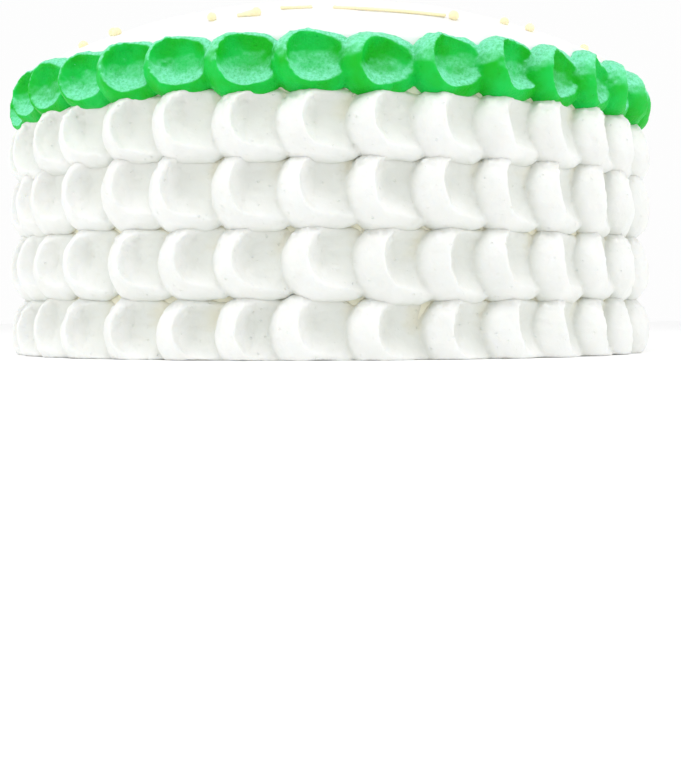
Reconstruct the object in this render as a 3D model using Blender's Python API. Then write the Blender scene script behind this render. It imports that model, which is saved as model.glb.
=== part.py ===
"""Birthday cake: a domed round cake under white buttercream, its side covered by rows of piped petals.

Run with: blender --background --python part.py
Metres, +Z up. The origin is the centre of the underside, and +X runs to the right of the front, -Y.
"""

import math

import bmesh
import bpy
from mathutils import Vector

# Driving dimensions.
CAKE_RADIUS = 0.105  # 200 mm sponge with its coat of buttercream
WALL_HEIGHT = 0.0955  # straight side
DOME_RISE = 0.0255  # from the top of the side to the middle of the dome
DOME_POWER = 2.2  # 2 would be a parabola; more is flatter in the middle
EDGE_ROUND = 0.0025  # rounded shoulder between side and dome
GAP = 0.0003  # clearance between pieces that touch

PETALS_PER_ROW = 34
ROW_EDGES = (0.0, 0.0176, 0.0380, 0.0596, 0.0772, 0.0946)  # rows piped by hand, not quite even
ROW_SHIFT_DEG = (2.6, 2.6, 1.9, 2.1, 1.3)  # how far each row lies round the cake, bottom row first

FILM = 0.0012  # thickness at a row's upper and lower edge
TAIL = 0.0019  # thin end of a petal, where the next one is piped over it
LIP = 0.0092  # the thick round rim left of the hollow
HOLLOW = 0.0026  # buttercream left under the spatula's stroke
HORN = 0.0058  # the rim's two ends, above and below the hollow
PETAL_BOW = 0.36  # how far a rim's ends trail behind its middle, as a share of the step

LINE_RADIUS = 0.0008  # piped yellow line
COMMA_RADIUS = 0.0017  # thick end of a yellow comma
DROP_RADIUS = 0.0017
DROP_FLATNESS = 0.7  # height of a drop against its width
DECORATION_GROUPS = 4
DROP_PLACES = (("a", -47, 0.0915), ("b", -22.5, 0.092), ("c", 24.5, 0.090), ("d", 38, 0.088))

PETAL_STEP = math.tau / PETALS_PER_ROW
# A row's inner wall is a polygon with one side for each petal, and the middle of each side clears the cake.
RING_INNER = (CAKE_RADIUS + GAP) / math.cos(PETAL_STEP / 2)

# A petal's sections from its foot to its hollow: the place along the step, as a share of it, and how
# high the buttercream stands halfway up the row and at the shoulders above and below that.
PETAL_SECTIONS = (
    (0.00, TAIL, TAIL),
    (0.13, 0.84 * LIP, 0.72 * LIP),
    (0.36, LIP, 0.86 * LIP),
    (0.60, HOLLOW, HORN),
)
SHOULDER = 0.62  # place of the shoulders, as a share of half the row's height


def clear_scene():
    for old in list(bpy.data.objects):
        bpy.data.objects.remove(old)


def make_material(name, colour, roughness, subsurface=0.0):
    material = bpy.data.materials.new(name)
    material.use_nodes = True
    shader = material.node_tree.nodes["Principled BSDF"]
    shader.inputs["Base Color"].default_value = (*colour, 1.0)
    shader.inputs["Roughness"].default_value = roughness
    shader.inputs["Metallic"].default_value = 0.0
    shader.inputs["Subsurface Weight"].default_value = subsurface
    return material


def add_object(name, data, material):
    made = bpy.data.objects.new(name, data)
    bpy.context.scene.collection.objects.link(made)
    made.data.materials.append(material)
    return made


def mesh_from_bmesh(name, shape):
    mesh = bpy.data.meshes.new(name)
    shape.to_mesh(mesh)
    shape.free()
    return mesh


def dome_height(radius):
    """Height of the cake's top at this distance from its axis."""
    return WALL_HEIGHT + DOME_RISE * (1 - (radius / CAKE_RADIUS) ** DOME_POWER)


def add_cake(material):
    """The cake and its coat: a profile from the middle of the dome down to the underside, turned about Z."""
    dome_steps = 5
    dome_radii = [(CAKE_RADIUS - EDGE_ROUND) * i / dome_steps for i in range(dome_steps + 1)]
    profile = [(r, dome_height(r)) for r in dome_radii] + [
        (CAKE_RADIUS - 0.3 * EDGE_ROUND, WALL_HEIGHT - 0.3 * EDGE_ROUND),
        (CAKE_RADIUS, WALL_HEIGHT - EDGE_ROUND),
        (CAKE_RADIUS, 0.0),
        (0.0, 0.0),
    ]
    mesh = bpy.data.meshes.new("cake_body")
    mesh.from_pydata([(r, 0.0, z) for r, z in profile], [(i, i + 1) for i in range(len(profile) - 1)], [])
    cake = add_object("cake_body", mesh, material)
    screw = cake.modifiers.new("turn", "SCREW")
    screw.steps = screw.render_steps = 60
    screw.use_merge_vertices = True
    screw.merge_threshold = 0.00001
    return cake


def row_span(row):
    """Height of a row's middle, and half of its own height."""
    low, high = ROW_EDGES[row], ROW_EDGES[row + 1]
    return (low + high) / 2, (high - low - GAP) / 2


def petal_section(along, middle, shoulder, row):
    """Outer side of a row at one place along its petals, from the lower edge to the upper edge."""
    row_middle, half = row_span(row)
    outline = ((-1.0, FILM), (-SHOULDER, shoulder), (0.0, middle), (SHOULDER, shoulder), (1.0, FILM))
    points = []
    for share, height in outline:
        angle = (along + PETAL_BOW * share**2) * PETAL_STEP
        radius = RING_INNER + height
        points.append((radius * math.cos(angle), radius * math.sin(angle), row_middle + share * half))
    return points


def add_petal_row(name, row, material):
    """A ring of petals, each piped over the thin end of the one before it, from left to right."""
    shape = bmesh.new()
    row_middle, half = row_span(row)
    outer, inner = [], []
    for petal in range(PETALS_PER_ROW):
        for along, middle, shoulder in PETAL_SECTIONS:
            points = petal_section(petal + along, middle, shoulder, row)
            outer.append([shape.verts.new(point) for point in points])
        angle = (petal + PETAL_BOW) * PETAL_STEP
        x, y = RING_INNER * math.cos(angle), RING_INNER * math.sin(angle)
        inner.append([shape.verts.new((x, y, row_middle - half)), shape.verts.new((x, y, row_middle + half))])

    for here, there in zip(outer, outer[1:] + outer[:1]):
        for i in range(len(here) - 1):
            shape.faces.new((here[i], there[i], there[i + 1], here[i + 1]))
    sections = len(PETAL_SECTIONS)
    for petal, (here, there) in enumerate(zip(inner, inner[1:] + inner[:1])):
        shape.faces.new((here[0], here[1], there[1], there[0]))
        along_petal = [outer[(petal * sections + i) % len(outer)] for i in range(sections + 1)]
        shape.faces.new([there[0], here[0]] + [section[0] for section in along_petal])
        shape.faces.new([there[1], here[1]] + [section[-1] for section in along_petal])
    bmesh.ops.recalc_face_normals(shape, faces=shape.faces)

    mesh = mesh_from_bmesh(name, shape)
    mesh.shade_smooth()
    mesh.set_sharp_from_angle(angle=math.radians(50))
    ring = add_object(name, mesh, material)
    ring.rotation_euler.z = math.radians(ROW_SHIFT_DEG[row]) - math.pi / 2
    return ring


def dome_normal(radius, angle):
    slope = DOME_RISE * DOME_POWER / CAKE_RADIUS * (radius / CAKE_RADIUS) ** (DOME_POWER - 1)
    return Vector((slope * math.cos(angle), slope * math.sin(angle), 1.0)).normalized()


def above_dome(radius, front_angle_deg, clearance):
    """A point square above the dome, and the normal there. Its angle runs from the front to the right."""
    angle = math.radians(front_angle_deg) - math.pi / 2
    normal = dome_normal(radius, angle)
    foot = Vector((radius * math.cos(angle), radius * math.sin(angle), dome_height(radius)))
    return foot + normal * clearance, normal


def add_icing_line(name, angles_deg, radii, thickness, material):
    """A piped line on the dome; each pair gives its value at the line's start and end."""
    steps = max(2, round(abs(angles_deg[1] - angles_deg[0]) / 5))
    curve = bpy.data.curves.new(name, "CURVE")
    curve.dimensions = "3D"
    curve.bevel_depth = 1.0
    curve.bevel_resolution = 1
    curve.use_fill_caps = True
    spline = curve.splines.new("POLY")
    spline.points.add(steps)
    for i, point in enumerate(spline.points):
        angle, radius, thick = (a + (b - a) * i / steps for a, b in (angles_deg, radii, thickness))
        centre, _ = above_dome(radius, angle, thick + GAP)
        point.co = (*centre, 1.0)
        point.radius = thick
    return add_object(name, curve, material)


def add_icing_drop(name, angle_deg, radius, material):
    """A small round drop of icing, flattened where it was set down."""
    shape = bmesh.new()
    bmesh.ops.create_uvsphere(shape, u_segments=8, v_segments=5, radius=DROP_RADIUS)
    bmesh.ops.scale(shape, vec=(1.0, 1.0, DROP_FLATNESS), verts=shape.verts)
    mesh = mesh_from_bmesh(name, shape)
    mesh.shade_smooth()
    drop = add_object(name, mesh, material)
    drop.location, normal = above_dome(radius, angle_deg, DROP_FLATNESS * DROP_RADIUS + GAP)
    drop.rotation_euler = normal.to_track_quat("Z", "Y").to_euler()
    return drop


def add_decoration(material):
    """Like groups of piped lines and drops, in a broken ring on the dome."""
    even = (LINE_RADIUS, LINE_RADIUS)
    for group in range(DECORATION_GROUPS):
        at = group * 360 / DECORATION_GROUPS
        number = group + 1
        add_icing_line(f"yellow_arc_{number}", (at + 1, at + 23), (0.084, 0.0885), even, material)
        add_icing_line(f"yellow_dash_{number}", (at - 10, at - 4), (0.083, 0.083), even, material)
        comma = (LINE_RADIUS, COMMA_RADIUS)
        add_icing_line(f"yellow_comma_{number}", (at - 17.5, at - 14), (0.0905, 0.090), comma, material)
        for letter, angle, radius in DROP_PLACES:
            add_icing_drop(f"yellow_drop_{letter}_{number}", at + angle, radius, material)


def main():
    clear_scene()
    white = make_material("white_buttercream", (0.88, 0.88, 0.84), 0.5, subsurface=0.2)
    green = make_material("green_buttercream", (0.02, 0.52, 0.09), 0.45, subsurface=0.2)
    yellow = make_material("yellow_icing", (0.95, 0.78, 0.30), 0.4)
    add_cake(white)
    top_row = len(ROW_EDGES) - 2
    for row in range(top_row):
        add_petal_row(f"white_petals_{row + 1}", row, white)
    add_petal_row("green_petals", top_row, green)
    add_decoration(yellow)


main()
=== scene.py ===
# %% [markdown]
# # A birthday cake under piped petals
#
# The cake is a domed round of sponge under a smooth coat of buttercream. Its side is covered by five
# rows of petals. A petal starts as a ball of buttercream piped onto the side. A spatula then presses
# into the ball and drags it to the right, which leaves a thick round rim on the left and a spoon-shaped
# hollow on the right. The next ball is piped over the thin tail, so only its rim and hollow show.
#
# The lesson follows that order: it makes one petal just as a baker does, then repeats it.

# %% Load the frame and read the cake's sizes from it
import math
import random

import bpy
from mathutils import Matrix, Vector


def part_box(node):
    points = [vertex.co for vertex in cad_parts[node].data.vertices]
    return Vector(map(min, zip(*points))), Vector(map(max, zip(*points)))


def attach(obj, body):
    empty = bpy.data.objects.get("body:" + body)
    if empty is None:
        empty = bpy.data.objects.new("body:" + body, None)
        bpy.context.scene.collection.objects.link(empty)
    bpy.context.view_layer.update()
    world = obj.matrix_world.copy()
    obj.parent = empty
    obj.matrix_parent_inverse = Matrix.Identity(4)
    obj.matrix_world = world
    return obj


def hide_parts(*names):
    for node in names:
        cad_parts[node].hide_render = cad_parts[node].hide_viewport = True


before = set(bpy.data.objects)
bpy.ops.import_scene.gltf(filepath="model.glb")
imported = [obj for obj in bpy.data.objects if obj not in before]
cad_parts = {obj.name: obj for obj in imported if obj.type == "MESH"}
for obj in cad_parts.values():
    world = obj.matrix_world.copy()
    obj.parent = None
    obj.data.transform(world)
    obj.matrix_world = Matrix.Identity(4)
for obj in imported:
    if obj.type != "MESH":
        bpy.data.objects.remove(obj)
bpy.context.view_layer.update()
MM = 0.001

cake_low, cake_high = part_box("cake_body")
CAKE_RADIUS = (cake_high.x - cake_low.x) / 2
CAKE_HEIGHT = cake_high.z
WHITE_ROWS = sorted(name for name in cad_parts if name.startswith("white_petals"))
PETAL_ROWS = WHITE_ROWS + ["green_petals"]


def row_middle(node):
    """Height of the middle of a row of petals."""
    low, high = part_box(node)
    return (low.z + high.z) / 2


ROW_PITCH = row_middle(PETAL_ROWS[1]) - row_middle(PETAL_ROWS[0])
WALL_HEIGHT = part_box("green_petals")[1].z + 1 * MM
print(f"cake radius {CAKE_RADIUS / MM:.1f} mm, height {CAKE_HEIGHT / MM:.1f} mm, {len(PETAL_ROWS)} rows")
print(f"row pitch {ROW_PITCH / MM:.1f} mm, side {WALL_HEIGHT / MM:.1f} mm high")

# %% [markdown]
# ## Tools for the bench
#
# Blender's operators act on whatever is selected, and the frame arrives selected. So every step here
# first selects exactly what it is about to change. These helpers keep that in one place.


# %% Select, apply and cut
def only(*pieces):
    """Select these objects and nothing else; the first is the active one."""
    bpy.ops.object.select_all(action="DESELECT")
    for piece in pieces:
        piece.select_set(True)
    bpy.context.view_layer.objects.active = pieces[0]


def pick(piece, wanted):
    """Select the vertices of a mesh whose place passes a test, with the edges and faces between them."""
    only(piece)
    mesh = piece.data
    for vertex in mesh.vertices:
        vertex.select = wanted(vertex.co)
    for part in list(mesh.edges) + list(mesh.polygons):
        part.select = all(mesh.vertices[i].select for i in part.vertices)


def settle(piece):
    """Move an object's place, turn and scale into its mesh."""
    only(piece)
    bpy.ops.object.transform_apply(location=True, rotation=True, scale=True)
    return piece


def modify(piece, kind, **settings):
    """Add a modifier, set it and apply it."""
    only(piece)
    modifier = piece.modifiers.new(kind.title(), kind)
    for name, value in settings.items():
        setattr(modifier, name, value)
    bpy.ops.object.modifier_apply(modifier=modifier.name)


def cut_off(piece, point, normal):
    """Cut a mesh at a plane, throw away the side that the normal points to, and close the cut."""
    only(piece)
    bpy.ops.object.mode_set(mode="EDIT")
    bpy.ops.mesh.select_all(action="SELECT")
    bpy.ops.mesh.bisect(plane_co=point, plane_no=normal, use_fill=True, clear_outer=True)
    bpy.ops.object.mode_set(mode="OBJECT")


def triangles(piece):
    return sum(len(face.vertices) - 2 for face in piece.data.polygons)


print("bench tools ready")

# %% [markdown]
# ## The ball of buttercream and the spatula
#
# A petal is modelled lying at the front of the cake: x runs along the row, z runs up, and the
# buttercream stands out towards -y. Both the ball and the blade are drawn out to the right in the same
# way: half of the mesh is moved along and resized, and the faces between stretch to follow.


# %% Draw out the right half of a mesh
BALL_LENGTH = 0.96  # along the row, against the ball's height
TAIL_THICKNESS = 0.52  # of the smeared end, against the ball's own
SUNK = 1 * MM  # how deep the middle of the ball lies behind the wall
BLADE_DEPTH = 14 * MM
BLADE_MOUTH, BLADE_TIP = 1.2 * MM, -1.4 * MM  # what the cup gains at its mouth and loses at its tip
TIP_ROUNDING = 4.6 * MM
DEEPER = 0.08  # radians by which the blade's floor nears the wall to the right


def draw_out(piece, middle, length, thickness=1.0, width=1.0):
    """Move all right of `middle` further right, and resize it across the row and away from the wall."""
    pick(piece, lambda place: place.x > middle + 0.1 * MM)
    bpy.ops.object.mode_set(mode="EDIT")
    bpy.ops.transform.translate(value=(length, 0, 0))
    bpy.ops.transform.resize(value=(1, thickness, width), center_override=(middle + length, 0, 0))
    bpy.ops.object.mode_set(mode="OBJECT")


def piped_ball(half, height, smear, narrow):
    """A round dollop, smeared out to a lower tail on its right."""
    bpy.ops.mesh.primitive_uv_sphere_add(segments=48, ring_count=24, radius=1, rotation=(0, math.pi / 2, 0))
    ball = settle(bpy.context.object)
    middle = BALL_LENGTH * half
    ball.scale = (middle, height + SUNK, half)
    ball.location = (middle, SUNK, 0)
    settle(ball)
    draw_out(ball, middle, smear, thickness=TAIL_THICKNESS, width=narrow)
    return ball


def spatula(start, radius, tall, floor, tilt, widen, flare, reach):
    """A round-ended blade, as a cup that cuts its own hollow, with its floor this far from the wall.

    The cup is `tall` times as high as it is wide. Right of `flare` radii from its left end it is drawn
    out by `reach` and made `widen` times as high, and `tilt` turns it down to the right.
    """
    bpy.ops.mesh.primitive_cone_add(
        vertices=64, radius1=radius + BLADE_MOUTH, radius2=radius + BLADE_TIP, depth=BLADE_DEPTH,
        rotation=(-math.pi / 2, 0, 0), location=(start + radius, -floor - BLADE_DEPTH / 2, 0),
    )
    blade = settle(bpy.context.object)
    pick(blade, lambda place: place.y > -floor - 1 * MM)
    bpy.ops.object.mode_set(mode="EDIT")
    bpy.ops.mesh.select_mode(type="EDGE")
    bpy.ops.mesh.bevel(offset=TIP_ROUNDING, segments=8, affect="EDGES")
    bpy.ops.mesh.select_mode(type="VERT")
    bpy.ops.object.mode_set(mode="OBJECT")
    blade.scale.z = tall
    settle(blade)
    draw_out(blade, start + flare * radius, reach, width=widen)
    blade.rotation_euler = (0, tilt, DEEPER)
    return settle(blade)


# %% [markdown]
# ## One petal
#
# A Boolean presses the blade into the ball. That leaves hard edges, and buttercream has none. A voxel
# remesh turns the shape into an even skin, and a few rounds of smoothing let it slump. The blade tears
# the skin a little where it first bites, at the upper left of the rim. The petal leans forward at its
# foot, over the row below, and its wall side is cut flat. Decimate then spends triangles where the petal
# curves. Last, a Simple Deform bends the petal round the cake, so that its long tail lies on the side
# instead of sticking out.


# %% Press, soften and bend a petal
PETAL_TRIANGLES = 5400
PETAL_SKIN = 0.42 * MM  # cells of the voxel remesh
BURIED = 0.8 * MM  # how deep a petal's wall side lies in the coat
TAIL_END = 25 * MM  # what lies further right is always under the next petal

chance = random.Random(11)


def some(low, high):
    return chance.uniform(low, high)


def tear(piece, half, least, most):
    """Ragged skin where the blade first bites, at the upper left of the rim."""
    bite = Vector((0.75 * half, 0, 0.80 * half))

    def bitten(place):
        return (Vector((place.x, 0, place.z)) - bite).length < 0.5 * half and place.y < -1.5 * MM

    pick(piece, bitten)
    torn = piece.vertex_groups.new(name="torn")
    torn.add([v.index for v in piece.data.vertices if v.select], 1.0, "REPLACE")
    grain = bpy.data.textures.new("tear", "CLOUDS")
    grain.noise_scale = some(1.2, 2.0) * MM
    modify(
        piece, "DISPLACE", texture=grain, texture_coords="LOCAL", strength=some(least, most),
        mid_level=0.5, vertex_group="torn",
    )
    piece.vertex_groups.clear()


def make_petal(
    name, half, height, smear, narrow, start, radius, tall, floor, tilt, widen, flare, reach, lean, rise, torn
):
    """A ball this high and half this wide, smeared out, pressed by the blade, torn and leant forward."""
    petal = piped_ball(half, height, smear, narrow)
    blade = spatula(start, radius, tall, floor, tilt, widen, flare, reach)
    blade.location.z = rise
    settle(blade)
    modify(petal, "BOOLEAN", operation="DIFFERENCE", object=blade)
    bpy.data.objects.remove(blade)
    modify(petal, "REMESH", mode="VOXEL", voxel_size=PETAL_SKIN)
    modify(petal, "SMOOTH", factor=0.5, iterations=3)
    tear(petal, half, 0.4 * MM, torn)
    petal.rotation_euler.x = lean
    settle(petal)
    cut_off(petal, (0, BURIED, 0), (0, 1, 0))
    cut_off(petal, (TAIL_END, 0, 0), (1, 0, 0))
    modify(petal, "DECIMATE", ratio=PETAL_TRIANGLES / triangles(petal))
    turn = petal.dimensions.x / CAKE_RADIUS
    modify(petal, "SIMPLE_DEFORM", deform_method="BEND", deform_axis="Z", angle=turn)
    petal.name = name
    return petal


# %% Make the petals that the rows will choose from
white_petals = [
    make_petal(
        f"white_petal_{i}", half=some(10.6, 11.1) * MM, height=some(8.2, 9.0) * MM,
        smear=some(7, 8) * MM, narrow=some(0.94, 0.98),
        start=some(6.8, 8.6) * MM, radius=some(8.4, 9.2) * MM, tall=some(1.04, 1.14),
        floor=some(2.4, 3.2) * MM, tilt=some(0.02, 0.10), widen=some(1.35, 1.50), flare=0.5, reach=8 * MM,
        lean=some(-0.23, -0.15), rise=some(0.9, 1.7) * MM, torn=2.4 * MM,
    )
    for i in range(8)
]
green_petals = [
    make_petal(
        f"green_petal_{i}", half=some(9.5, 9.9) * MM, height=some(8.4, 9.0) * MM,
        smear=some(6.0, 7.0) * MM, narrow=some(0.90, 0.97),
        start=some(4.6, 6.0) * MM, radius=some(7.2, 7.9) * MM, tall=some(1.20, 1.28),
        floor=some(2.2, 3.0) * MM, tilt=some(-0.10, 0.02), widen=some(0.85, 0.95), flare=1.0, reach=3 * MM,
        lean=some(-0.20, -0.14), rise=some(-1.2, -0.6) * MM, torn=1.3 * MM,
    )
    for i in range(5)
]
print(f"{len(white_petals)} white and {len(green_petals)} green petals")
print(f"{triangles(white_petals[0])} triangles each")

# %% [markdown]
# ## The rows
#
# Each row is a ring of petals that follow the frame's own count and phase. No two petals of a real cake
# are alike, so every copy takes a shape at random and is set down a little off its place. Nor is a piped
# row quite level: the white rows climb a little towards both sides, and the green one sinks. The copies
# of a row are joined, and a voxel remesh with a little smoothing melts them together where they touch.
# Displace modifiers with soft noise then give each petal a surface of its own.

# %% Set the petals round the cake
PETALS_PER_ROW = 34
FIRST_PETAL_DEG = {
    "white_petals_1": 2.6, "white_petals_2": 2.6, "white_petals_3": 1.9, "white_petals_4": 2.1,
    "green_petals": 1.3,
}
ROW_STRETCH = {  # height of a row's petals, against the shapes above
    "white_petals_1": 1.10, "white_petals_2": 1.12, "white_petals_3": 1.16, "white_petals_4": 1.07,
}
ROW_SWAY = {  # millimetres that a row climbs at both sides
    "white_petals_1": 0.5, "white_petals_2": 1.7, "white_petals_3": 2.0, "white_petals_4": 0.6,
}
ROW_RISE = {  # millimetres over the middle of the row in the frame
    "white_petals_1": -0.8, "white_petals_4": 0.0, "green_petals": 0.0,
}
USUAL_RISE, USUAL_SWAY = 0.4, -0.6
ROW_TRIANGLES = 190000
ROW_SKIN = 0.5 * MM
SLIP_ROUND, SLIP_UP = 0.008, 0.35  # spread of the baker's hand, in radians and in millimetres
SHELF = 0.1 * MM  # the lowest petals are pressed flat just above what the cake stands on


def set_down(shape, angle, height, stretch):
    """One petal's own mesh, at its place on the side of the cake."""
    petal = shape.copy()
    petal.data = shape.data.copy()
    bpy.context.scene.collection.objects.link(petal)
    size = Matrix.Diagonal((1, 1, stretch, 1))
    place = Matrix.Rotation(angle, 4, "Z") @ Matrix.Translation((0, -CAKE_RADIUS, height))
    petal.matrix_world = place @ size
    settle(petal)
    if height < ROW_PITCH:
        cut_off(petal, (0, 0, SHELF), (0, 0, -1))
    return petal


def roughen(piece, grain, depth):
    """Push the skin in and out by soft noise."""
    skin = bpy.data.textures.new(f"{piece.name}_skin", "CLOUDS")
    skin.noise_scale = grain
    skin.noise_depth = 1
    modify(piece, "DISPLACE", texture=skin, texture_coords="LOCAL", strength=depth, mid_level=0.5)


def petal_row(node, shapes):
    step = math.tau / PETALS_PER_ROW
    petals = []
    for number in range(PETALS_PER_ROW):
        angle = math.radians(FIRST_PETAL_DEG[node]) + number * step + chance.gauss(0, SLIP_ROUND)
        sway = ROW_SWAY.get(node, USUAL_SWAY) * math.sin(angle) ** 2
        rise = ROW_RISE.get(node, USUAL_RISE) + sway + chance.gauss(0, SLIP_UP)
        height = row_middle(node) + rise * MM
        stretch = ROW_STRETCH.get(node, 1.0) * some(0.97, 1.03)
        petals.append(set_down(chance.choice(shapes), angle, height, stretch))
    only(*petals)
    bpy.ops.object.join()
    row = bpy.context.object
    row.name = node.replace("petals", "petal_row")
    modify(row, "REMESH", mode="VOXEL", voxel_size=ROW_SKIN)
    modify(row, "SMOOTH", factor=0.4, iterations=2)
    modify(row, "DECIMATE", ratio=min(1.0, ROW_TRIANGLES / triangles(row)))
    roughen(row, 7 * MM, 0.9 * MM)  # swells
    roughen(row, 2 * MM, 0.40 * MM)  # small lumps
    only(row)
    bpy.ops.object.shade_smooth()
    print(f"{row.name}: {triangles(row)} triangles")
    return row


rows = {node: petal_row(node, white_petals if node in WHITE_ROWS else green_petals) for node in PETAL_ROWS}
for shape in white_petals + green_petals:
    bpy.data.objects.remove(shape)

# %% [markdown]
# ## The coat
#
# Under the petals the cake is one smooth body. Its profile is drawn as a chain of points from the middle
# of the dome down to the underside, and Spin turns it round the axis. On the real cake a spatula smooths
# the dome while the cake turns, which leaves very low rings and swells, so the skin gets a little noise.


# %% Spin the coat
DOME_POWER = 2.2  # 2 is a plain dome, and more is flatter in the middle and steeper at the edge


def dome_height(radius):
    """Height of the top at this distance from the axis: flat in the middle, falling faster outwards."""
    return WALL_HEIGHT + (CAKE_HEIGHT - WALL_HEIGHT) * (1 - (radius / CAKE_RADIUS) ** DOME_POWER)


def spun(name, profile, steps):
    """Turn a profile of (radius, height) points, which starts and ends on the axis, into a closed body."""
    bpy.ops.mesh.primitive_plane_add(size=1)
    body = bpy.context.object
    body.name = name
    bpy.ops.object.mode_set(mode="EDIT")
    bpy.ops.mesh.select_all(action="SELECT")
    bpy.ops.mesh.merge(type="CENTER")
    bpy.ops.transform.translate(value=(profile[0][0], 0, profile[0][1]))
    for (radius, height), (next_radius, next_height) in zip(profile, profile[1:]):
        bpy.ops.mesh.extrude_vertices_move(
            TRANSFORM_OT_translate={"value": (next_radius - radius, 0, next_height - height)}
        )
    bpy.ops.mesh.select_all(action="SELECT")
    bpy.ops.mesh.spin(steps=steps, angle=math.tau, center=(0, 0, 0), axis=(0, 0, 1))
    bpy.ops.mesh.select_all(action="SELECT")
    bpy.ops.mesh.remove_doubles(threshold=0.005 * MM)
    bpy.ops.mesh.normals_make_consistent(inside=False)
    bpy.ops.object.mode_set(mode="OBJECT")
    return settle(body)


EDGE = 2.5 * MM  # rounding between dome and side
DOME_STEPS, SIDE_STEPS = 70, 24


def shoulder_place(turn):
    """A point of the rounding, from the dome's edge at 0 to the side at a quarter turn."""
    fall = EDGE * (1 - math.cos(turn)) + 0.1 * EDGE * math.sin(turn)
    return CAKE_RADIUS - EDGE * (1 - math.sin(turn)), WALL_HEIGHT - fall


dome_radii = [(CAKE_RADIUS - EDGE) * i / DOME_STEPS for i in range(DOME_STEPS + 1)]
dome = [(radius, dome_height(radius)) for radius in dome_radii]
shoulder = [shoulder_place(turn) for turn in (0.4, 0.8, 1.2, math.pi / 2)]
side_top = WALL_HEIGHT - EDGE
side = [(CAKE_RADIUS, side_top - side_top * i / SIDE_STEPS) for i in range(1, SIDE_STEPS + 1)]
coat = spun("coat", dome + shoulder + side + [(0.0, 0.0)], steps=300)
print(f"coat: {triangles(coat)} triangles, {[round(d / MM, 1) for d in coat.dimensions]} mm")

# %% Let the smoothed top swell a little
pick(coat, lambda place: place.z > WALL_HEIGHT - EDGE)
on_top = coat.vertex_groups.new(name="top")
on_top.add([v.index for v in coat.data.vertices if v.select], 1.0, "REPLACE")
swell = bpy.data.textures.new("swell", "CLOUDS")
swell.noise_scale = 22 * MM
modify(
    coat, "DISPLACE", texture=swell, texture_coords="LOCAL", strength=0.9 * MM,
    mid_level=0.6, vertex_group="top",
)
coat.vertex_groups.clear()
only(coat)
bpy.ops.object.shade_smooth_by_angle(angle=math.radians(50))

# %% [markdown]
# ## Yellow icing
#
# The marks on the dome are piped with a narrow tip: arcs, dashes and drops in a broken ring. A piped line
# is never a perfect tube. It swells and thins with the pressure of the hand, and it is round at its ends.
# A string of overlapping beads, made one skin by a voxel remesh, has just that shape.


# %% Pipe lines and drops of icing
BEAD_STEP = 0.45  # from bead to bead, against a bead's radius
BEAD_LIFT = 0.55  # of a bead's middle over the dome, against its radius
END_SWELL = 1.25  # of the first and the last bead of a line
ICING_SKIN = 0.22 * MM


def dome_place(radius, degrees, lift):
    """A point square above the dome; the angle runs from the front to the right."""
    angle = math.radians(degrees) - math.pi / 2
    fall = (dome_height(radius - 0.5 * MM) - dome_height(radius + 0.5 * MM)) / MM
    outward = Vector((math.cos(angle), math.sin(angle), 0))
    normal = (outward * fall + Vector((0, 0, 1))).normalized()
    return outward * radius + Vector((0, 0, dome_height(radius))) + normal * lift


def bead(place, radius):
    bpy.ops.mesh.primitive_ico_sphere_add(subdivisions=2, radius=radius, location=place)
    return settle(bpy.context.object)


def piped(name, angles, radii, thickness):
    """A line of icing from one place on the dome to another; each pair is its value at start and end."""
    length = math.radians(abs(angles[1] - angles[0])) * radii[0] + abs(radii[1] - radii[0])
    count = max(1, round(length / (BEAD_STEP * thickness[0])))
    beads = []
    for i in range(count + 1):
        degrees, radius, thick = (a + (b - a) * i / count for a, b in (angles, radii, thickness))
        thick *= some(0.93, 1.07) * (END_SWELL if i in (0, count) else 1.0)
        radius += some(-0.15, 0.15) * MM
        beads.append(bead(dome_place(radius, degrees, BEAD_LIFT * thick), thick))
    only(*beads)
    bpy.ops.object.join()
    line = bpy.context.object
    line.name = name
    modify(line, "REMESH", mode="VOXEL", voxel_size=ICING_SKIN)
    modify(line, "SMOOTH", factor=0.5, iterations=6)
    only(line)
    bpy.ops.object.shade_smooth()
    return line


LINE, COMMA, DROP = 0.55 * MM, 1.3 * MM, 1.2 * MM  # how thick, as radii
GROUPS = 4
icing = {}
for group in range(GROUPS):
    at, number = group * 360 / GROUPS, group + 1
    for kind, angles, radii, thickness in (
        ("arc", (1, 23), (84, 88.5), (LINE, LINE)),
        ("dash", (-10, -4), (83, 83), (LINE, LINE)),
        ("comma", (-17.5, -14), (90.5, 90), (LINE, COMMA)),
        ("drop_a", (-47, -47), (91.5, 91.8), (DROP, DROP)),
        ("drop_b", (-22.5, -22.5), (92, 92.3), (DROP, DROP)),
        ("drop_c", (24.5, 24.5), (90, 90.3), (DROP, DROP)),
        ("drop_d", (38, 38), (88, 88.3), (DROP, DROP)),
    ):
        angles = tuple(at + angle for angle in angles)
        radii = tuple(radius * MM for radius in radii)
        icing[f"yellow_{kind}_{number}"] = piped(f"icing_{kind}_{number}", angles, radii, thickness)
print(f"{len(icing)} marks of icing, {sum(triangles(mark) for mark in icing.values())} triangles together")

# %% [markdown]
# ## Shader maths in plain Python
#
# A buttercream's colour and bumps come from a few noise patterns and the distance from the cake's axis.
# As nodes that is a tangle. Wrapped in a small class, a socket can be added, multiplied and subtracted
# like a number, and each operation adds its own Math node.


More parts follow.
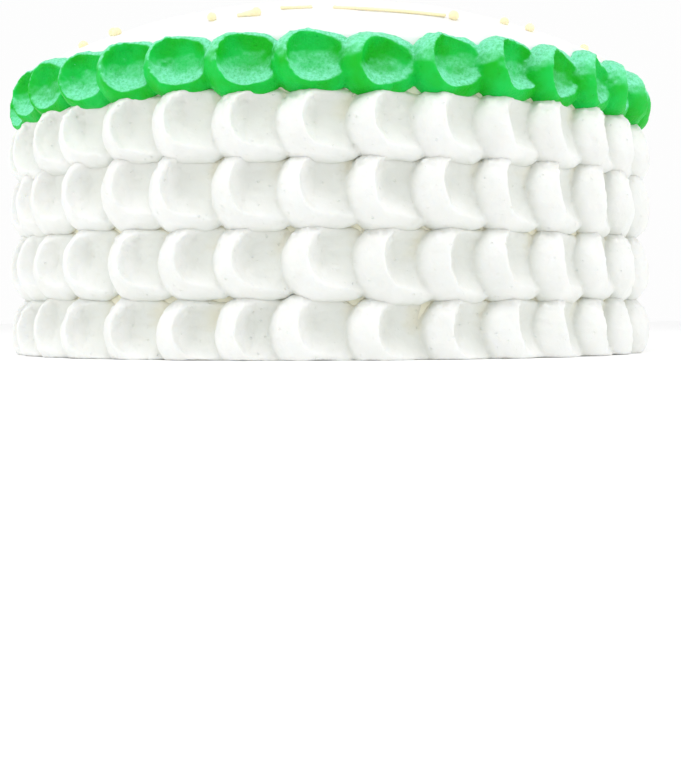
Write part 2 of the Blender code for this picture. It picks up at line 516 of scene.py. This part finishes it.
# %% The Wire class
class Wire:
    """A socket of a material, on which Python's operators build Math nodes."""

    def __init__(self, tree, socket):
        self.tree = tree
        self.socket = socket

    def maths(self, operation, first, second):
        return add_node(self.tree, "ShaderNodeMath", {"operation": operation}, {0: first, 1: second})

    def __add__(self, other):
        return self.maths("ADD", self, other)

    def __sub__(self, other):
        return self.maths("SUBTRACT", self, other)

    def __rsub__(self, other):
        return self.maths("SUBTRACT", other, self)

    def __mul__(self, other):
        return self.maths("MULTIPLY", self, other)

    def __truediv__(self, other):
        return self.maths("DIVIDE", self, other)

    def __pow__(self, other):
        return self.maths("POWER", self, other)

    def __lt__(self, other):
        return self.maths("LESS_THAN", self, other)

    __radd__ = __add__
    __rmul__ = __mul__


def add_node(tree, kind, settings, inputs, output=0):
    """Any node: its settings first, then the value or the wire of each socket, by name or number."""
    node = tree.nodes.new(kind)
    for name, value in settings.items():
        setattr(node, name, value)
    for name, value in inputs.items():
        if isinstance(value, Wire):
            tree.links.new(value.socket, node.inputs[name])
        else:
            node.inputs[name].default_value = value
    return Wire(tree, node.outputs[output])


MIX_FACTOR, MIX_FIRST, MIX_SECOND, MIX_RESULT = 0, 6, 7, 2  # sockets that a Mix node uses for colours


def ramp(wire, low, high):
    """0 below low, 1 above high, and a smooth step between; low may be the larger."""
    inputs = {"Value": wire, "From Min": low, "From Max": high}
    return add_node(wire.tree, "ShaderNodeMapRange", {"interpolation_type": "SMOOTHSTEP"}, inputs)


def mix(factor, first, second):
    """From one colour to another; a colour is a wire or its red, green and blue."""
    first, second = ((*colour, 1.0) if isinstance(colour, tuple) else colour for colour in (first, second))
    inputs = {MIX_FACTOR: factor, MIX_FIRST: first, MIX_SECOND: second}
    return add_node(factor.tree, "ShaderNodeMix", {"data_type": "RGBA"}, inputs, output=MIX_RESULT)


def noise(where, scale, detail=2.0, roughness=0.5):
    inputs = {"Vector": where, "Scale": scale, "Detail": detail, "Roughness": roughness}
    return add_node(where.tree, "ShaderNodeTexNoise", {}, inputs)


print("shader tools ready")

# %% [markdown]
# ## Buttercream
#
# Whipped buttercream is satin, a little see-through, and full of air. The air shows as small round pits,
# made here from Voronoi cells: a cell becomes a pit only if its random number says so. Where the spatula
# drags, sugar grains tear the skin, so the hollows are rougher than the rims. The height above the cake's
# side, worked out from the distance to the axis, tells the two apart. The white colour holds painted shade:
# the hollows and air pits are painted greyer, and the deepest creases get a warm painted shade. The
# green gets a pale painted sheen where its skin faces up.


# %% A material with its shader and its places
def start_material(name):
    """A new Principled material: its tree, its shader and a wire with the place of each point."""
    material = bpy.data.materials.new(name)
    material.use_nodes = True
    tree = material.node_tree
    place = add_node(tree, "ShaderNodeTexCoord", {}, {}, output=3)
    return material, tree, tree.nodes["Principled BSDF"], place


def parts_of(vector):
    """The x, y and z of a vector, as three wires."""
    split = add_node(vector.tree, "ShaderNodeSeparateXYZ", {}, {0: vector}).socket.node
    return [Wire(vector.tree, socket) for socket in split.outputs]


def height_over_side(place):
    """How far a point stands out from the side of the cake, in millimetres."""
    x, y = parts_of(place)[:2]
    distance = (x * x + y * y) ** 0.5
    return (distance - CAKE_RADIUS) * (1 / MM)


def pits(place, cells, size, share):
    """Round dents in a few of the cells of a pattern: 1 at the middle of a dent, 0 outside."""
    cell = add_node(place.tree, "ShaderNodeTexVoronoi", {}, {"Vector": place, "Scale": cells})
    chosen = Wire(place.tree, cell.socket.node.outputs["Color"]) < share
    return ramp(cell, size, 0.0) * chosen


def finish(tree, shader, colour, roughness, bump, distance):
    tree.links.new(colour.socket, shader.inputs["Base Color"])
    tree.links.new(roughness.socket, shader.inputs["Roughness"])
    bumped = add_node(tree, "ShaderNodeBump", {}, {"Strength": 1.0, "Distance": distance, "Height": bump})
    tree.links.new(bumped.socket, shader.inputs["Normal"])


# %% White buttercream
def white_buttercream(name):
    material, tree, shader, place = start_material(name)
    height = height_over_side(place)
    cloudy = noise(place, 60.0, 3.0)
    grain = noise(place, 2600.0, 3.0, 0.6)
    lumps = noise(place, 500.0, 2.0)
    # painted shade: next to the cake's side the deepest creases get a warm olive painted shade
    crease_shade = ramp(height, 1.4, 0.0) * 0.7
    air = pits(place, 380.0, 0.20, 0.36) + pits(place, 800.0, 0.22, 0.36) * 0.6
    cream = mix(ramp(cloudy, 0.35, 0.65), (0.815, 0.823, 0.798), (0.845, 0.852, 0.833))
    # painted shade: the hollows, and a little the air pits, are painted greyer than the rims
    painted_hollow_shade = mix(ramp(height, 5.4, 1.0) * 0.9 + air * 0.1, cream, (0.710, 0.730, 0.685))
    colour = mix(crease_shade, painted_hollow_shade, (0.74, 0.72, 0.57))
    bump = grain * 0.12 + lumps * 0.6 - air * 0.7
    finish(tree, shader, colour, 0.42 + cloudy * 0.16, bump, 0.4 * MM)
    shader.inputs["Subsurface Weight"].default_value = 0.5
    shader.inputs["Subsurface Radius"].default_value = (0.75, 0.85, 1.0)
    shader.inputs["Subsurface Scale"].default_value = 2.2 * MM
    return material


# %% Green buttercream
def green_buttercream(name):
    material, tree, shader, place = start_material(name)
    height = height_over_side(place)
    cloudy = noise(place, 90.0, 3.0)
    hollow = ramp(height, 6.5, 3.5)
    torn = noise(place, 1100.0, 4.0, 0.65)
    grain = noise(place, 3200.0, 2.0, 0.6)
    normal = add_node(tree, "ShaderNodeNewGeometry", {}, {}, output=1)
    upward = ramp(parts_of(normal)[2], -0.05, 0.60)
    deep = mix(ramp(cloudy, 0.35, 0.65), (0.002, 0.490, 0.012), (0.002, 0.600, 0.070))
    # painted sheen: skin that faces up is painted pale mint, broken up by the torn grain
    painted_sheen = upward * (0.45 + ramp(torn + grain * 0.4, 0.50, 0.85) * (0.45 + hollow * 0.15))
    colour = mix(painted_sheen, deep, (0.26, 0.90, 0.60))
    air = pits(place, 520.0, 0.22, 0.42)
    bump = grain * 0.12 + torn * (0.5 + hollow * 1.1) - air * 0.6
    finish(tree, shader, colour, 0.34 + torn * 0.2, bump, 0.4 * MM)
    shader.inputs["Specular IOR Level"].default_value = 0.22
    shader.inputs["Subsurface Weight"].default_value = 0.15
    shader.inputs["Subsurface Radius"].default_value = (0.5, 1.0, 0.5)
    shader.inputs["Subsurface Scale"].default_value = 1.2 * MM
    return material


# %% Smoothed coat and yellow icing
def coat_material(name):
    """The dome: smoothed on a turntable, so its finest marks run round it."""
    material, tree, shader, place = start_material(name)
    x, y, z = parts_of(place)
    distance = x.maths("MAXIMUM", (x * x + y * y) ** 0.5, 0.001)
    around = {0: x / distance * 1.5, 1: y / distance * 1.5, 2: distance * 260.0}
    turning = add_node(tree, "ShaderNodeCombineXYZ", {}, around)
    rings = noise(turning, 1.0, 3.0, 0.55)
    cloudy = noise(place, 45.0, 3.0)
    grain = noise(place, 2200.0, 2.0)
    bright = mix(ramp(cloudy, 0.35, 0.65), (0.855, 0.857, 0.842), (0.885, 0.885, 0.870))
    under = ramp(z, WALL_HEIGHT - 3 * MM, WALL_HEIGHT - 6 * MM)  # painted warm shade between the petals
    colour = mix(under, bright, (0.86, 0.83, 0.66))
    bump = rings * 0.7 + grain * 0.06 - pits(place, 300.0, 0.16, 0.38) * 0.6
    finish(tree, shader, colour, 0.40 + rings * 0.15, bump, 0.25 * MM)
    shader.inputs["Subsurface Weight"].default_value = 0.35
    shader.inputs["Subsurface Radius"].default_value = (1.0, 0.85, 0.6)
    shader.inputs["Subsurface Scale"].default_value = 1.6 * MM
    return material


def yellow_icing(name):
    material, tree, shader, place = start_material(name)
    cloudy = noise(place, 300.0, 3.0)
    grain = noise(place, 2400.0, 2.0)
    colour = mix(cloudy, (0.97, 0.85, 0.50), (0.98, 0.91, 0.64))
    finish(tree, shader, colour, 0.35 + grain * 0.15, grain * 0.3 + cloudy * 0.5, 0.2 * MM)
    shader.inputs["Subsurface Weight"].default_value = 0.25
    shader.inputs["Subsurface Radius"].default_value = (1.0, 0.7, 0.3)
    shader.inputs["Subsurface Scale"].default_value = 1.0 * MM
    return material


# %% Dress the pieces and tie them to the frame
white, green = white_buttercream("white buttercream"), green_buttercream("green buttercream")
smooth_white, yellow = coat_material("smoothed buttercream"), yellow_icing("yellow icing")


def dress(piece, material, node):
    """Give a piece its material, let it ride with the cake, and hide the CAD node that it replaces."""
    piece.data.materials.clear()
    piece.data.materials.append(material)
    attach(piece, "root")
    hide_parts(node)


dress(coat, smooth_white, "cake_body")
for node, row in rows.items():
    if node in WHITE_ROWS:
        dress(row, white, node)
    else:
        dress(row, green, node)
for node, mark in icing.items():
    dress(mark, yellow, node)
print(f"{1 + len(rows) + len(icing)} pieces ride on the cake")

# %% [markdown]
# ## Table, light and camera
#
# The cake stands on a plain pale surface that runs out of sight. The light is that of a bright white
# room: a soft lamp overhead that brightens the dome and the rims of the petals, a larger one on each
# side, and an even sky that fills the rest. The camera looks at the side from close by and barely above
# the table.

# %% A pale floor
bpy.ops.mesh.primitive_plane_add(size=8)
floor = bpy.context.object
floor.name = "floor"
paint = bpy.data.materials.new("pale floor")
paint.use_nodes = True
surface = paint.node_tree.nodes["Principled BSDF"].inputs
surface["Base Color"].default_value = (0.95, 0.95, 0.95, 1.0)
surface["Roughness"].default_value = 0.6
surface["Emission Color"].default_value = (1.0, 1.0, 1.0, 1.0)
surface["Emission Strength"].default_value = 0.08  # keeps the far end as bright as the sky behind it
floor.data.materials.append(paint)

# %% Soft studio light
world = bpy.data.worlds.new("white room")
bpy.context.scene.world = world
world.use_nodes = True
sky = world.node_tree
lighting = sky.nodes["Background"]
lighting.inputs["Color"].default_value = (1.0, 1.0, 1.0, 1.0)
lighting.inputs["Strength"].default_value = 0.90
seen = sky.nodes.new("ShaderNodeBackground")
seen.inputs["Color"].default_value = (0.985, 0.985, 0.985, 1.0)
path = sky.nodes.new("ShaderNodeLightPath")
choose = sky.nodes.new("ShaderNodeMixShader")
sky.links.new(path.outputs["Is Camera Ray"], choose.inputs[0])
sky.links.new(lighting.outputs[0], choose.inputs[1])
sky.links.new(seen.outputs[0], choose.inputs[2])
sky.links.new(choose.outputs[0], sky.nodes["World Output"].inputs["Surface"])


def soft_lamp(name, place, target, size, power):
    lamp = bpy.data.lights.new(name, "AREA")
    lamp.shape = "DISK"
    lamp.size = size
    lamp.energy = power
    holder = bpy.data.objects.new(name, lamp)
    bpy.context.scene.collection.objects.link(holder)
    holder.location = place
    holder.rotation_euler = (Vector(target) - Vector(place)).to_track_quat("-Z", "Y").to_euler()


ON_THE_CAKE = (0, 0, 0.05)
soft_lamp("overhead", (-0.05, -0.40, 0.80), ON_THE_CAKE, size=0.3, power=1.8)
soft_lamp("left", (-0.90, -0.25, 0.30), ON_THE_CAKE, size=0.6, power=1.1)
soft_lamp("right", (0.90, -0.25, 0.30), ON_THE_CAKE, size=0.6, power=1.1)

# %% The camera
EYE_DISTANCE = 0.510  # from the cake's axis
EYE_HEIGHT = 12 * MM
camera = bpy.data.cameras.new("camera")
camera.sensor_width = 36
camera.lens = 66.316
camera.clip_start = 1 * MM
eye = bpy.data.objects.new("camera", camera)
bpy.context.scene.collection.objects.link(eye)
eye.location = (0, -EYE_DISTANCE, EYE_HEIGHT)
eye.rotation_euler = (math.radians(90 - 2.5), math.radians(0.2), math.radians(-0.39))
bpy.context.scene.camera = eye
bpy.context.scene.view_settings.view_transform = "Standard"
